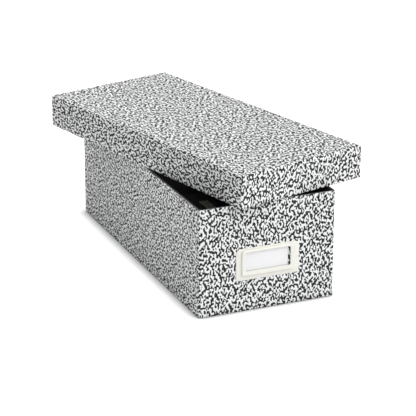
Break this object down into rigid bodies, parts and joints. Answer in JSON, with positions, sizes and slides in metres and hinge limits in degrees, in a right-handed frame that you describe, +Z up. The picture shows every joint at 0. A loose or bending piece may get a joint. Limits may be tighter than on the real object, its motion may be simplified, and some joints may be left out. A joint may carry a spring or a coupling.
{
  "type": "index card file box",
  "caption": "Paper-covered board file box for index cards, open tray with a lift-off lid resting askew on its rim and a metal label holder on one end.",
  "frame": {"origin": "the middle of the tray's underside, on the surface that it stands on", "axes": "+Z up, +Y along the tray from its label end to its back end, +X across it to the right as seen from the label end"},
  "size_m": [0.2072, 0.3258, 0.1327],
  "materials": {
    "covered_board": "satin covering paper with a black and white agate pattern outside, dull black lining inside",
    "holder_enamel": "ivory enamel, satin",
    "label_paper": "matt white card",
    "sticker_paper": "matt brown paper"
  },
  "bodies": {
    "root": {"tray": "covered_board", "lid": "covered_board", "label_holder": "holder_enamel", "label_card": "label_paper", "floor_sticker": "sticker_paper"}
  },
  "joints": []
}
